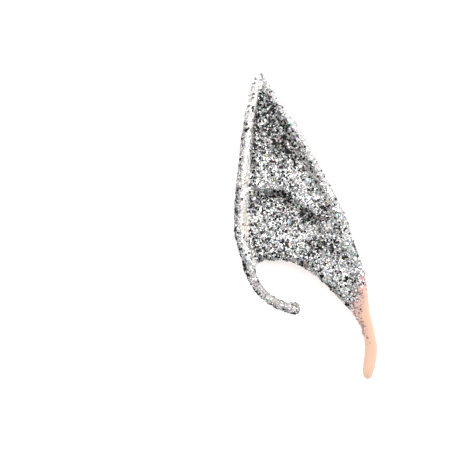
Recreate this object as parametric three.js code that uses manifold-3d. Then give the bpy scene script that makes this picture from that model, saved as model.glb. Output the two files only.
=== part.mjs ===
// A pointed ear tip: a thin latex shell that slips over the top of an ear, lying on its back.
// Millimetres, +Z up. The point is towards +Y, the front rim with its hook is at -X, the tail at +X -Y.
// The origin is on the surface that the tip lies on, under the middle of its length and width.
import * as THREE from "three";
import { mergeVertices } from "three/addons/utils/BufferGeometryUtils.js";
import Module from "manifold-3d";

// Overall sizes
const LENGTH = 120; // tail end to point
const WIDTH = 55.8; // front rim to the rearmost edge of the tail
const DEPTH = 17; // resting surface to the highest crest of the front rim

// Latex skin and its cut edge
const WALL = 1.3;
const LIP_WIDTH = 3.0; // band along the mouth over which the front sheet turns down
const LIP_DROP = 1.5; // how far that band falls at the edge
const EDGE_BULGE = 0.35; // how far the edge is rounded out
const POINT_ROUNDING = 3.4; // length over which the point is rounded off

// Rims, and the falls from their crests to the face between them
const FRONT_RIM_RADIUS = 2.5;
const FRONT_RIM_FALL = 2.7;
const REAR_RIM_RADIUS = 2.2;
const REAR_RIM_FALL = 5.0;
const TAIL_TOP = 0.22; // share of LENGTH at which the tail starts
const GROOVE_DEPTH = 0.7; // crease at the foot of the front rim
const GROOVE_WIDTH = 1.3; // from its middle to where it has nearly gone
const BACK_ROUNDING = 9; // width of the round from the back up to an edge
const NARROW_SHARE = 0.23; // most of a narrow section's width that a rim or its fall takes
const FOOT_SHARE = 0.5; // share of the dish's depth reached at the foot of the rims
const DISH_SHARE = 0.4; // share of a section's width over which the rest is reached
const FLANK_SHARE = 0.8; // how far the hollow keeps off a rim's flank, as a share of the wall

// Crest across the face, and the bowl below it
const CREST_HEIGHT = 2.6;
const CREST_UPPER_SPREAD = 7.5;
const CREST_LOWER_SPREAD = 3.2;
const BOWL_DEPTH = 2.2;
const BOWL_FALL = 6.5; // distance below the crest over which the bowl falls
const BOWL_LENGTH = 30; // distance below the crest at which the bowl has risen again

// Hook that continues the front rim
const HOOK_ROOT_RADIUS = 2.1;
const HOOK_RADIUS = 1.6;
const HOOK_END_RADIUS = 1.95;
const HOOK_SWELLING = 5; // length over which its end swells
const HOOK_CAP = 1; // length over which its end is rounded
const HOOK_TAPER = 0.5; // share of its length over which it gets slender
const HOOK_SINK = 0.6; // how far its root lies under the middle of the rim

// Hollow
const HOLLOW_END = 17; // solid latex behind the point
const HOLLOW_ROUNDING = 8; // length over which the hollow's end is rounded
const HOLLOW_PULL = 3.9; // width at an edge over which the hollow is drawn in by the wall

// Mesh density
const FRONT_COLUMNS = 46;
const EDGE_WEIGHT = 0.6; // share of the columns that are spread by length along the mouth's edge
const BACK_COLUMNS = 20;
const FRONT_BAND = 0.12; // share of the across measure that the front rim and its fall take
const REAR_BAND = 0.15; // the same for the rear rim
const TAIL_FAN = 0.33; // how fast the rear rim's columns spread down the tail
const OUTER_ROW = 1.9; // height of a row
const INNER_ROW = 3.2;
const CAP_ROWS = 4; // rows over which an end is rounded
const EDGE_ROWS = 2;
const HOOK_SIDES = 12;
const HOOK_STEPS = 26;
const HOOK_CAP_STEPS = 3;
const FINE_STEPS = 480;
const SLOPE_STEP = 0.01; // share of WIDTH over which a slope is measured

// Sections across the ear tip. up: share of LENGTH from the tail's end. front and rear: the two edges,
// shares of WIDTH. frontCrest, rearCrest: heights of the rims. dish: depth of the face below them.
// lift: height of the back. These four are shares of DEPTH.
// Below the hook, the front edge is only a guide line for the columns.
const SECTIONS = [
  { up: 0.0, front: -0.6, rear: 0.955, frontCrest: 0.5, rearCrest: 0.22, dish: 0.0, lift: 0.0 },
  { up: 0.05, front: -0.52, rear: 0.989, frontCrest: 0.53, rearCrest: 0.25, dish: 0.0, lift: 0.0 },
  { up: 0.1, front: -0.42, rear: 1.0, frontCrest: 0.58, rearCrest: 0.3, dish: 0.01, lift: 0.0 },
  { up: 0.16, front: -0.28, rear: 0.979, frontCrest: 0.67, rearCrest: 0.39, dish: 0.03, lift: 0.0 },
  { up: 0.22, front: -0.12, rear: 0.947, frontCrest: 0.78, rearCrest: 0.51, dish: 0.07, lift: 0.0 },
  { up: 0.29, front: 0.01, rear: 0.928, frontCrest: 0.9, rearCrest: 0.65, dish: 0.13, lift: 0.0 },
  { up: 0.36, front: 0.07, rear: 0.898, frontCrest: 0.97, rearCrest: 0.75, dish: 0.19, lift: 0.0 },
  { up: 0.422, front: 0.03, rear: 0.848, frontCrest: 1.0, rearCrest: 0.79, dish: 0.23, lift: 0.0 },
  { up: 0.487, front: 0.0, rear: 0.805, frontCrest: 0.985, rearCrest: 0.79, dish: 0.25, lift: 0.0 },
  { up: 0.535, front: 0.0, rear: 0.768, frontCrest: 0.96, rearCrest: 0.775, dish: 0.26, lift: 0.0 },
  { up: 0.62, front: 0.01, rear: 0.678, frontCrest: 0.88, rearCrest: 0.72, dish: 0.29, lift: 0.0 },
  { up: 0.71, front: 0.03, rear: 0.574, frontCrest: 0.78, rearCrest: 0.65, dish: 0.31, lift: 0.02 },
  { up: 0.8, front: 0.052, rear: 0.475, frontCrest: 0.67, rearCrest: 0.58, dish: 0.28, lift: 0.06 },
  { up: 0.88, front: 0.08, rear: 0.36, frontCrest: 0.565, rearCrest: 0.51, dish: 0.21, lift: 0.11 },
  { up: 0.95, front: 0.115, rear: 0.262, frontCrest: 0.48, rearCrest: 0.45, dish: 0.11, lift: 0.16 },
  { up: 1.0, front: 0.15, rear: 0.21, frontCrest: 0.42, rearCrest: 0.41, dish: 0.04, lift: 0.2 },
];

// Edge of the front sheet: from the front rim over the arch, down the tail's inner side and round its
// end. across: share of WIDTH. up: share of LENGTH.
const FRONT_MOUTH = [
  { across: 0.07, up: 0.36 },
  { across: 0.125, up: 0.367 },
  { across: 0.165, up: 0.384 },
  { across: 0.215, up: 0.394 },
  { across: 0.315, up: 0.393 },
  { across: 0.4, up: 0.388 },
  { across: 0.475, up: 0.37 },
  { across: 0.54, up: 0.35 },
  { across: 0.61, up: 0.325 },
  { across: 0.69, up: 0.288 },
  { across: 0.775, up: 0.245 },
  { across: 0.84, up: 0.208 },
  { across: 0.885, up: 0.17 },
  { across: 0.908, up: 0.13 },
  { across: 0.913, up: 0.095 },
  { across: 0.905, up: 0.06 },
  { across: 0.899, up: 0.036 },
  { across: 0.902, up: 0.02 },
  { across: 0.914, up: 0.009 },
  { across: 0.932, up: 0.004 },
  { across: 0.948, up: 0.004 },
  { across: 0.962, up: 0.01 },
];

// Edge of the back sheet: from the tail's end up behind its rear edge and across to the front rim
const BACK_MOUTH = [
  { across: 0.962, up: 0.01 },
  { across: 0.98, up: 0.045 },
  { across: 0.985, up: 0.08 },
  { across: 0.975, up: 0.13 },
  { across: 0.945, up: 0.18 },
  { across: 0.9, up: 0.235 },
  { across: 0.83, up: 0.29 },
  { across: 0.72, up: 0.345 },
  { across: 0.58, up: 0.385 },
  { across: 0.42, up: 0.41 },
  { across: 0.26, up: 0.415 },
  { across: 0.13, up: 0.4 },
  { across: 0.07, up: 0.36 },
];

// Line of the crest across the face. height: share of CREST_HEIGHT.
const CREST = [
  { across: 0.0, up: 0.6, height: 0.3 },
  { across: 0.105, up: 0.619, height: 0.6 },
  { across: 0.175, up: 0.63, height: 0.9 },
  { across: 0.245, up: 0.635, height: 1.0 },
  { across: 0.322, up: 0.632, height: 1.0 },
  { across: 0.392, up: 0.616, height: 0.95 },
  { across: 0.462, up: 0.591, height: 0.8 },
  { across: 0.538, up: 0.567, height: 0.5 },
  { across: 0.636, up: 0.5375, height: 0.0 },
  { across: 1.0, up: 0.5, height: 0.0 },
];

// Free part of the hook's centre line. height: share of the way from its end up to the rim's crest.
const HOOK = [
  { across: 0.098, up: 0.365, height: 0.81 },
  { across: 0.119, up: 0.339, height: 0.76 },
  { across: 0.147, up: 0.313, height: 0.68 },
  { across: 0.182, up: 0.29, height: 0.57 },
  { across: 0.231, up: 0.267, height: 0.43 },
  { across: 0.287, up: 0.251, height: 0.28 },
  { across: 0.35, up: 0.238, height: 0.13 },
  { across: 0.44, up: 0.2305, height: 0.0 },
];

// Where the hook's centre line leaves the middle of the front rim
const HOOK_ROOTS = [{ up: 0.45 }, { up: 0.41 }];

const HALF_TURN = Math.PI;
const MERGE_DISTANCE = 1e-4;

function clamp(value, low, high) {
  return Math.min(high, Math.max(low, value));
}

function mix(from, to, share) {
  return from + (to - from) * share;
}

function smoothStep(share) {
  const s = clamp(share, 0, 1);
  return s * s * (3 - 2 * s);
}

// How far a quarter circle of the given radius has risen at a distance from its start, 0 to 1
function roundRise(distance, radius) {
  const left = 1 - clamp(distance / radius, 0, 1);
  return Math.sqrt(1 - left * left);
}

// A smooth curve through points, which stays between neighbouring values
function smoothCurve(xs, ys) {
  const last = xs.length - 1;
  const steps = xs.slice(1).map((x, i) => x - xs[i]);
  const slopes = steps.map((step, i) => (ys[i + 1] - ys[i]) / step);
  const tangents = xs.map((_, i) => {
    if (i === 0) return slopes[0];
    if (i === last) return slopes[last - 1];
    if (slopes[i - 1] * slopes[i] <= 0) return 0;
    const before = steps[i - 1] + 2 * steps[i];
    const after = 2 * steps[i - 1] + steps[i];
    return (before + after) / (before / slopes[i - 1] + after / slopes[i]);
  });
  return (x) => {
    let i = 0;
    while (i < last - 1 && x > xs[i + 1]) i += 1;
    const s = clamp((x - xs[i]) / steps[i], 0, 1);
    const rest = 1 - s;
    const value = ys[i] * (1 + 2 * s) * rest * rest + ys[i + 1] * (3 - 2 * s) * s * s;
    return value + steps[i] * (tangents[i] * s * rest * rest - tangents[i + 1] * s * s * rest);
  };
}

function tableCurve(table, key, column) {
  return smoothCurve(table.map((row) => row[key]), table.map((row) => row[column]));
}

const frontShare = tableCurve(SECTIONS, "up", "front");
const rearShare = tableCurve(SECTIONS, "up", "rear");
const frontCrestShare = tableCurve(SECTIONS, "up", "frontCrest");
const rearCrestShare = tableCurve(SECTIONS, "up", "rearCrest");
const dishShare = tableCurve(SECTIONS, "up", "dish");
const liftShare = tableCurve(SECTIONS, "up", "lift");
const crestUp = tableCurve(CREST, "across", "up");
const crestHeight = tableCurve(CREST, "across", "height");

// The section at a height y above the tail's end: edges, heights and radii in mm
function sectionAt(y) {
  const up = clamp(y / LENGTH, 0, 1);
  const front = frontShare(up) * WIDTH;
  const rear = rearShare(up) * WIDTH;
  const most = (rear - front) * NARROW_SHARE;
  return {
    front,
    rear,
    frontCrest: frontCrestShare(up) * DEPTH,
    rearCrest: rearCrestShare(up) * DEPTH,
    dish: dishShare(up) * DEPTH,
    lift: liftShare(up) * DEPTH,
    frontRadius: Math.min(FRONT_RIM_RADIUS, most),
    rearRadius: Math.min(REAR_RIM_RADIUS, most),
    frontFall: Math.min(FRONT_RIM_FALL, most),
    rearFall: Math.min(REAR_RIM_FALL, most),
    backRound: Math.min(BACK_ROUNDING, (rear - front) / 2),
  };
}

// Bands along the rims keep their width, so that the columns there run parallel to the edges
function bandsAt(y) {
  const s = sectionAt(y);
  const fan = TAIL_FAN * Math.max(0, TAIL_TOP * LENGTH - y);
  const frontFoot = s.front + s.frontRadius + s.frontFall;
  const rearFoot = s.rear - s.rearRadius - s.rearFall - fan;
  return [
    { share: 0, x: s.front },
    { share: FRONT_BAND, x: frontFoot },
    { share: 1 - REAR_BAND, x: rearFoot },
    { share: 1, x: s.rear },
  ];
}

// The value of one column of a table at a value of another, in straight stretches
function tableValue(table, key, column, value) {
  let i = 0;
  while (i < table.length - 2 && value > table[i + 1][key]) i += 1;
  const share = (value - table[i][key]) / (table[i + 1][key] - table[i][key]);
  return mix(table[i][column], table[i + 1][column], clamp(share, 0, 1));
}

function acrossAt(angle, y) {
  return tableValue(bandsAt(y), "share", "x", (1 - Math.cos(angle)) / 2);
}

// Points of a mouth edge as angles: 0 on the front edge, half a turn on the rear edge
function edgeCurve(table) {
  const points = table.map(({ across, up }) => {
    const share = tableValue(bandsAt(up * LENGTH), "x", "share", across * WIDTH);
    return { angle: Math.acos(1 - 2 * share), y: up * LENGTH };
  });
  points.sort((a, b) => a.angle - b.angle);
  return smoothCurve(points.map((p) => p.angle), points.map((p) => p.y));
}

const frontEdgeY = edgeCurve(FRONT_MOUTH);
const backEdgeY = edgeCurve(BACK_MOUTH);

// The front sheet's edge in fine steps, with its length up to each step
const edgePoints = Array.from({ length: FINE_STEPS + 1 }, (_, i) => {
  const angle = (HALF_TURN * i) / FINE_STEPS;
  const y = frontEdgeY(angle);
  return { angle, point: new THREE.Vector2(acrossAt(angle, y), y) };
});

function distanceToEdge(x, y) {
  const here = new THREE.Vector2(x, y);
  return Math.min(...edgePoints.map(({ point }) => point.distanceTo(here)));
}

// Angles of the front columns: spread partly by angle, partly by length along the edge
function frontAngles() {
  const lengths = [0];
  for (let i = 1; i <= FINE_STEPS; i += 1) {
    lengths.push(lengths[i - 1] + edgePoints[i].point.distanceTo(edgePoints[i - 1].point));
  }
  const measures = edgePoints.map((e, i) => {
    return mix(e.angle / HALF_TURN, lengths[i] / lengths[FINE_STEPS], EDGE_WEIGHT);
  });
  const angleAt = smoothCurve(measures, edgePoints.map((e) => e.angle));
  return Array.from({ length: FRONT_COLUMNS + 1 }, (_, j) => angleAt(j / FRONT_COLUMNS));
}

// Height of the crest across the face over the smooth face
function crestRelief(x, y) {
  const across = clamp(x / WIDTH, 0, 1);
  const ahead = Math.min(across + SLOPE_STEP, 1);
  const slope = ((crestUp(ahead) - crestUp(across)) * LENGTH) / (SLOPE_STEP * WIDTH);
  const above = (y - crestUp(across) * LENGTH) / Math.hypot(1, slope);
  const spread = above > 0 ? CREST_UPPER_SPREAD : CREST_LOWER_SPREAD;
  return CREST_HEIGHT * crestHeight(across) * Math.exp(-((above / spread) ** 2));
}

// Depth of the bowl under the crest: a quick fall, then a slow rise towards the mouth
function bowlRelief(x, y) {
  const across = clamp(x / WIDTH, 0, 1);
  const below = crestUp(across) * LENGTH - y;
  const fall = smoothStep(below / BOWL_FALL);
  const rise = 1 - smoothStep(below / BOWL_LENGTH);
  return BOWL_DEPTH * crestHeight(across) * fall * rise;
}

// Height of the front sheet. inset is 0 on its outside and WALL on its inside.
function faceHeight(x, y, inset) {
  const s = sectionAt(y);
  const fromFront = x - s.front - inset;
  const fromRear = s.rear - inset - x;
  const frontRadius = s.frontRadius - inset;
  const rearRadius = s.rearRadius - inset;
  const share = clamp(fromFront / (fromFront + fromRear), 0, 1);
  const crest = mix(s.frontCrest, s.rearCrest, share) - inset;
  const frontRise = roundRise(fromFront, frontRadius);
  const rearRise = roundRise(fromRear, rearRadius);
  const flank = FLANK_SHARE * inset;
  const inFront = smoothStep((fromFront - frontRadius + flank) / s.frontFall);
  const inRear = smoothStep((fromRear - rearRadius + flank) / s.rearFall);
  const open = inFront * inRear;
  const dishWidth = DISH_SHARE * (s.rear - s.front);
  const broad = smoothStep(fromFront / dishWidth) * smoothStep(fromRear / dishWidth);
  const dish = s.dish * mix(broad, open, FOOT_SHARE);
  const narrow = s.frontFall / FRONT_RIM_FALL;
  const toGroove = (fromFront - frontRadius - s.frontFall + flank) / (GROOVE_WIDTH * narrow);
  const groove = GROOVE_DEPTH * narrow * Math.exp(-(toGroove ** 2));
  const lip = LIP_DROP * (1 - clamp(distanceToEdge(x, y) / LIP_WIDTH, 0, 1)) ** 2;
  const hollow = dish + bowlRelief(x, y) * open + groove * inRear;
  const raised = inset === 0 ? crestRelief(x, y) * open : 0;
  const rolled = frontRadius * (1 - frontRise) + rearRadius * (1 - rearRise);
  return crest - rolled - hollow + raised - lip * frontRise * rearRise;
}

// Height of the back sheet, from the silhouette's height at both edges down to the resting surface
function backHeight(x, y, inset) {
  const s = sectionAt(y);
  const bottom = s.lift + inset;
  const round = s.backRound - inset;
  const frontDrop = (s.frontCrest - s.frontRadius - bottom) * (1 - roundRise(x - s.front - inset, round));
  const rearDrop = (s.rearCrest - s.rearRadius - bottom) * (1 - roundRise(s.rear - inset - x, round));
  return bottom + frontDrop + rearDrop;
}

// A point of the skin. angle runs over the face from front to rear and on under the back. inset is 0
// outside and WALL inside. A point below the mouth's edge moves up to it.
function skinPoint(angle, level, inset) {
  const isFace = angle <= HALF_TURN;
  const turned = isFace ? angle : 2 * HALF_TURN - angle;
  const y = Math.max(level, isFace ? frontEdgeY(turned) : backEdgeY(turned));
  const { front, rear } = sectionAt(y);
  const outerX = acrossAt(turned, y);
  const frontPull = (1 - clamp((outerX - front) / HOLLOW_PULL, 0, 1)) ** 2;
  const rearPull = (1 - clamp((rear - outerX) / HOLLOW_PULL, 0, 1)) ** 2;
  const top = inset === 0 ? LENGTH : LENGTH - HOLLOW_END;
  const closing = roundRise(top - y, inset === 0 ? POINT_ROUNDING : HOLLOW_ROUNDING);
  const middle = (front + rear) / 2;
  const x = mix(middle, outerX + inset * (frontPull - rearPull), closing);
  const face = faceHeight(x, y, inset);
  const back = backHeight(x, y, inset);
  return new THREE.Vector3(x, y, mix((face + back) / 2, isFace ? face : back, closing));
}

// A closed skin over a stack of rings, from a first pole to a last one. Faces between points that
// coincide are left out.
function closedSkin(first, rings, last) {
  const around = rings[0].length;
  const points = [first, ...rings.flat(), last];
  const index = [];
  const at = (ring, column) => 1 + ring * around + (column % around);
  for (let column = 0; column < around; column += 1) {
    index.push(0, at(0, column), at(0, column + 1));
    for (let ring = 0; ring < rings.length - 1; ring += 1) {
      index.push(at(ring, column), at(ring + 1, column), at(ring + 1, column + 1));
      index.push(at(ring, column), at(ring + 1, column + 1), at(ring, column + 1));
    }
    index.push(at(rings.length - 1, column + 1), at(rings.length - 1, column), points.length - 1);
  }
  const loose = new THREE.BufferGeometry().setFromPoints(points);
  loose.setIndex(index);
  const geometry = mergeVertices(loose, MERGE_DISTANCE);
  const merged = geometry.index.array;
  const kept = [];
  for (let i = 0; i < merged.length; i += 3) {
    const [a, b, c] = merged.slice(i, i + 3);
    if (a !== b && b !== c && c !== a) kept.push(a, b, c);
  }
  geometry.setIndex(kept);
  return geometry;
}

// Levels of the rows, from the tail's end up, with closer ones where the end is rounded
function rowLevels(top, rounding, row) {
  const straight = top - rounding;
  const count = Math.round(straight / row);
  const levels = Array.from({ length: count }, (_, i) => (straight * i) / count);
  for (let i = 0; i < CAP_ROWS; i += 1) {
    levels.push(straight + rounding * Math.sin(((HALF_TURN / 2) * i) / CAP_ROWS));
  }
  return levels;
}

// The shell: rings down the outside, round the mouth's edge and up the inside
function shellGeometry() {
  const front = frontAngles();
  const back = Array.from({ length: BACK_COLUMNS - 1 }, (_, j) => HALF_TURN * (1 + (j + 1) / BACK_COLUMNS));
  const angles = [...front, ...back];
  const ringAt = (level, inset) => angles.map((angle) => skinPoint(angle, level, inset));
  const hollowTop = LENGTH - HOLLOW_END;
  const outerLevels = rowLevels(LENGTH, POINT_ROUNDING, OUTER_ROW);
  const innerLevels = rowLevels(hollowTop, HOLLOW_ROUNDING, INNER_ROW);
  const outside = outerLevels.map((level) => ringAt(level, 0)).reverse();
  const inside = innerLevels.map((level) => ringAt(level, WALL));
  const outerEdge = outside.at(-1);
  const innerEdge = inside[0];
  const edge = [];
  for (let row = 1; row <= EDGE_ROWS; row += 1) {
    const share = row / (EDGE_ROWS + 1);
    edge.push(
      outerEdge.map((outer, column) => {
        const above = skinPoint(angles[column], outer.y + OUTER_ROW, 0);
        const outward = outer.clone().sub(above).normalize();
        const bulge = EDGE_BULGE * Math.sin(HALF_TURN * share);
        return outer.clone().lerp(innerEdge[column], share).addScaledVector(outward, bulge);
      }),
    );
  }
  return closedSkin(skinPoint(0, LENGTH, 0), [...outside, ...edge, ...inside], skinPoint(0, hollowTop, WALL));
}

// Centre line of the hook, from inside the front rim to its end on the resting surface
function hookCurve() {
  const roots = HOOK_ROOTS.map(({ up }) => {
    const s = sectionAt(up * LENGTH);
    const height = s.frontCrest - s.frontRadius - HOOK_SINK;
    return new THREE.Vector3(s.front + s.frontRadius, up * LENGTH, height);
  });
  const free = HOOK.map(
    ({ across, up, height }) =>
      new THREE.Vector3(across * WIDTH, up * LENGTH, mix(HOOK_END_RADIUS, DEPTH, height)),
  );
  return new THREE.CatmullRomCurve3([...roots, ...free], false, "centripetal");
}

// The hook: rings along its centre line, slender in the middle, with a swollen blunt end
function hookGeometry() {
  const curve = hookCurve();
  const length = curve.getLength();
  const places = [];
  for (let step = 1; step <= HOOK_STEPS; step += 1) {
    places.push(((length - HOOK_CAP) * step) / HOOK_STEPS);
  }
  for (let step = 1; step < HOOK_CAP_STEPS; step += 1) {
    places.push(length - HOOK_CAP + HOOK_CAP * Math.sin(((HALF_TURN / 2) * step) / HOOK_CAP_STEPS));
  }
  const frames = curve.computeFrenetFrames(FINE_STEPS, false);
  const rings = places.map((place) => {
    const share = place / length;
    const centre = curve.getPointAt(share);
    const frame = Math.round(share * FINE_STEPS);
    const swelling = smoothStep(1 - (length - place) / HOOK_SWELLING);
    const slender = mix(HOOK_ROOT_RADIUS, HOOK_RADIUS, smoothStep(share / HOOK_TAPER));
    const radius = mix(slender, HOOK_END_RADIUS, swelling) * roundRise(length - place, HOOK_CAP);
    return Array.from({ length: HOOK_SIDES }, (_, side) => {
      const turn = (2 * HALF_TURN * side) / HOOK_SIDES;
      return centre
        .clone()
        .addScaledVector(frames.binormals[frame], radius * Math.cos(turn))
        .addScaledVector(frames.normals[frame], radius * Math.sin(turn));
    });
  });
  return closedSkin(curve.getPointAt(0), rings, curve.getPointAt(1));
}

const wasm = await Module();
wasm.setup();

function toSolid(geometry) {
  const vertProperties = new Float32Array(geometry.attributes.position.array);
  const triVerts = new Uint32Array(geometry.index.array);
  return new wasm.Manifold(new wasm.Mesh({ numProp: 3, vertProperties, triVerts }));
}

function toGeometry(solid) {
  const { vertProperties, triVerts } = solid.getMesh();
  const geometry = new THREE.BufferGeometry();
  geometry.setAttribute("position", new THREE.BufferAttribute(vertProperties, 3));
  geometry.setIndex(new THREE.BufferAttribute(triVerts, 1));
  geometry.computeVertexNormals();
  return geometry;
}

// Latex under glitter: the colour is the mean of silver flakes and shadow
const material = new THREE.MeshStandardMaterial({ color: 0xa9a8aa, roughness: 0.45, metalness: 0.35 });
const casting = toSolid(shellGeometry()).add(toSolid(hookGeometry()));
const earTip = new THREE.Mesh(toGeometry(casting), material);
earTip.name = "ear_tip";
earTip.position.set(-WIDTH / 2, -LENGTH / 2, 0);

const group = new THREE.Group();
group.add(earTip);

export default group;
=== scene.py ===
# %% [markdown]
# # A glittered latex ear tip
#
# The ear tip is a thin pocket of cast latex that slips over the top of an ear. It has a rolled
# rim in front that ends in a hook, a rolled rim behind that ends in a bare strap, and a coat of
# glitter glued all over its front. It lies on its back here, with the point away from us.

import bpy
import numpy as np
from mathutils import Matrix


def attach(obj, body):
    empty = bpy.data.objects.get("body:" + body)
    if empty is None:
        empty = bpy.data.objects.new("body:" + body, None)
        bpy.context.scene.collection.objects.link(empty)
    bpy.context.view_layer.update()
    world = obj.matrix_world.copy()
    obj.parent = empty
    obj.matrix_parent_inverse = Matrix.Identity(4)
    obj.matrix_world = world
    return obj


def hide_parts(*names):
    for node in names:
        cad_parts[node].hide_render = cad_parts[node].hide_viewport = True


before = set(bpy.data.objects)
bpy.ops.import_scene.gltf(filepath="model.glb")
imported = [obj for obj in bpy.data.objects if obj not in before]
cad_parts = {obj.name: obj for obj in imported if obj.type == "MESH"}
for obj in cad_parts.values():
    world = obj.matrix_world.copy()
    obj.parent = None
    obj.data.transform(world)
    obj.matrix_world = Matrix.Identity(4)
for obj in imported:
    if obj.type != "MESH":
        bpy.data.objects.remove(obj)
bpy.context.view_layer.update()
print("nodes to dress:", list(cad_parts))

# %% [markdown]
# ## Sizes
#
# Everything is worked out in millimetres and turned into metres at the end. x runs from the
# front rim to the rear rim, y from the tail's end to the point, z up from the table.
# The numbers could sit inside the formulas, but named sizes say what each one is for.

# %% Overall sizes, rims and relief
LENGTH, WIDTH, DEPTH = 120.0, 55.8, 17.0
MM = 0.001
WALL = 1.3
LIP_WIDTH, LIP_DROP = 3.0, 1.5  # the front sheet turns down along the mouth
EDGE_BULGE = 0.35
POINT_ROUNDING = 3.4
FRONT_RADIUS, FRONT_FALL = 2.5, 2.7  # roll, and the fall from it to the face
REAR_RADIUS, REAR_FALL = 2.2, 5.0
GROOVE_DEPTH, GROOVE_WIDTH = 0.7, 1.3
BACK_ROUNDING = 9.0
NARROW_SHARE, FOOT_SHARE, DISH_SHARE, FLANK_SHARE = 0.23, 0.5, 0.4, 0.8
CREST_HEIGHT, CREST_UPPER_SPREAD, CREST_LOWER_SPREAD = 2.6, 7.5, 3.2
BOWL_DEPTH, BOWL_FALL, BOWL_LENGTH = 2.2, 6.5, 30.0
HOLLOW_END, HOLLOW_ROUNDING, HOLLOW_PULL = 17.0, 8.0, 3.9
FRONT_BAND, REAR_BAND = 0.12, 0.15
TAIL_TOP, TAIL_FAN = 0.22, 0.33
print(f"{LENGTH} mm long, {WIDTH} mm wide, {DEPTH} mm deep, wall {WALL} mm")

# %% Tables of sections and edges, as shares of the overall sizes
SECTIONS = np.array([
    # up, front edge, rear edge, front crest, rear crest, dish, lift of the back
    (0.000, -0.600, 0.955, 0.500, 0.220, 0.00, 0.00),
    (0.050, -0.520, 0.989, 0.530, 0.250, 0.00, 0.00),
    (0.100, -0.420, 1.000, 0.580, 0.300, 0.01, 0.00),
    (0.160, -0.280, 0.979, 0.670, 0.390, 0.03, 0.00),
    (0.220, -0.120, 0.947, 0.780, 0.510, 0.07, 0.00),
    (0.290, 0.010, 0.928, 0.900, 0.650, 0.13, 0.00),
    (0.360, 0.070, 0.898, 0.970, 0.750, 0.19, 0.00),
    (0.422, 0.030, 0.848, 1.000, 0.790, 0.23, 0.00),
    (0.487, 0.000, 0.805, 0.985, 0.790, 0.25, 0.00),
    (0.535, 0.000, 0.768, 0.960, 0.775, 0.26, 0.00),
    (0.620, 0.010, 0.678, 0.880, 0.720, 0.29, 0.00),
    (0.710, 0.030, 0.574, 0.780, 0.650, 0.31, 0.02),
    (0.800, 0.052, 0.475, 0.670, 0.580, 0.28, 0.06),
    (0.880, 0.080, 0.360, 0.565, 0.510, 0.21, 0.11),
    (0.950, 0.115, 0.262, 0.480, 0.450, 0.11, 0.16),
    (1.000, 0.150, 0.210, 0.420, 0.410, 0.04, 0.20),
])
FRONT_MOUTH = np.array([
    # across, up: over the arch, down the tail's inner side and round its end
    (0.070, 0.360), (0.125, 0.367), (0.165, 0.384), (0.215, 0.394), (0.315, 0.393),
    (0.400, 0.388), (0.475, 0.370), (0.540, 0.350), (0.610, 0.325), (0.690, 0.288),
    (0.775, 0.245), (0.840, 0.208), (0.885, 0.170), (0.908, 0.130), (0.913, 0.095),
    (0.905, 0.060), (0.899, 0.036), (0.902, 0.020), (0.914, 0.009), (0.932, 0.004),
    (0.948, 0.004), (0.962, 0.010),
])
BACK_MOUTH = np.array([
    # across, up: from the tail's end up behind its rear edge and over to the front rim
    (0.962, 0.010), (0.980, 0.045), (0.985, 0.080), (0.975, 0.130), (0.945, 0.180),
    (0.900, 0.235), (0.830, 0.290), (0.720, 0.345), (0.580, 0.385), (0.420, 0.410),
    (0.260, 0.415), (0.130, 0.400), (0.070, 0.360),
])
CREST = np.array([
    # across, up, height as a share of CREST_HEIGHT
    (0.000, 0.600, 0.30), (0.105, 0.619, 0.60), (0.175, 0.630, 0.90), (0.245, 0.635, 1.00),
    (0.322, 0.632, 1.00), (0.392, 0.616, 0.95), (0.462, 0.591, 0.80), (0.538, 0.567, 0.50),
    (0.636, 0.5375, 0.00), (1.000, 0.500, 0.00),
])
HOOK = np.array([
    # across, up, height as a share of the way from its end up to the rim's crest
    (0.098, 0.365, 0.81), (0.119, 0.339, 0.76), (0.147, 0.313, 0.68), (0.182, 0.290, 0.57),
    (0.231, 0.267, 0.43), (0.287, 0.251, 0.28), (0.350, 0.238, 0.13), (0.440, 0.2305, 0.00),
])
HOOK_ROOTS = np.array([0.45, 0.41])
HOOK_ROOT_RADIUS, HOOK_RADIUS, HOOK_END_RADIUS = 2.1, 1.6, 1.95
HOOK_SWELLING, HOOK_CAP, HOOK_TAPER, HOOK_SINK = 5.0, 1.0, 0.5, 0.6
print(len(SECTIONS), "sections,", len(FRONT_MOUTH) + len(BACK_MOUTH), "edge points")

# %% [markdown]
# ## Smooth curves through a few points
#
# A sculptor bends a spring through a few pins. A plain cubic through such points swings past
# them, which would put bumps into the rims. The slope used here never lets it swing.


# %% Curve helpers
def smooth_curve(xs, ys):
    """Cubic between neighbours. A point's slope is the weighted harmonic mean of the slopes on
    its two sides, and nothing where those differ in sign, so the curve never overshoots."""
    steps = np.diff(xs)
    slopes = np.diff(ys) / steps
    before, after = steps[:-1] + 2 * steps[1:], 2 * steps[:-1] + steps[1:]
    same = slopes[:-1] * slopes[1:] > 0
    first, second = np.where(same, slopes[:-1], 1), np.where(same, slopes[1:], 1)
    inner = np.where(same, (before + after) / (before / first + after / second), 0)
    tangents = np.concatenate([slopes[:1], inner, slopes[-1:]])

    def at(x):
        i = np.clip(np.searchsorted(xs, x) - 1, 0, len(steps) - 1)
        s = np.clip((x - xs[i]) / steps[i], 0, 1)
        rest = 1 - s
        ends = ys[i] * (1 + 2 * s) * rest**2 + ys[i + 1] * (3 - 2 * s) * s**2
        return ends + steps[i] * (tangents[i] * s * rest**2 - tangents[i + 1] * s**2 * rest)

    return at


def smooth_step(share):
    """3 s squared minus 2 s cubed, held at 0 and 1 outside."""
    s = np.clip(share, 0, 1)
    return s * s * (3 - 2 * s)


def rise(value, start, reach):
    """Smooth step from nothing at the start to one a reach further on."""
    return smooth_step((value - start) / reach)


def bell(distance, width):
    """One at no distance, falling as e to the minus square of the distance over the width."""
    return np.exp(-((distance / width) ** 2))


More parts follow.
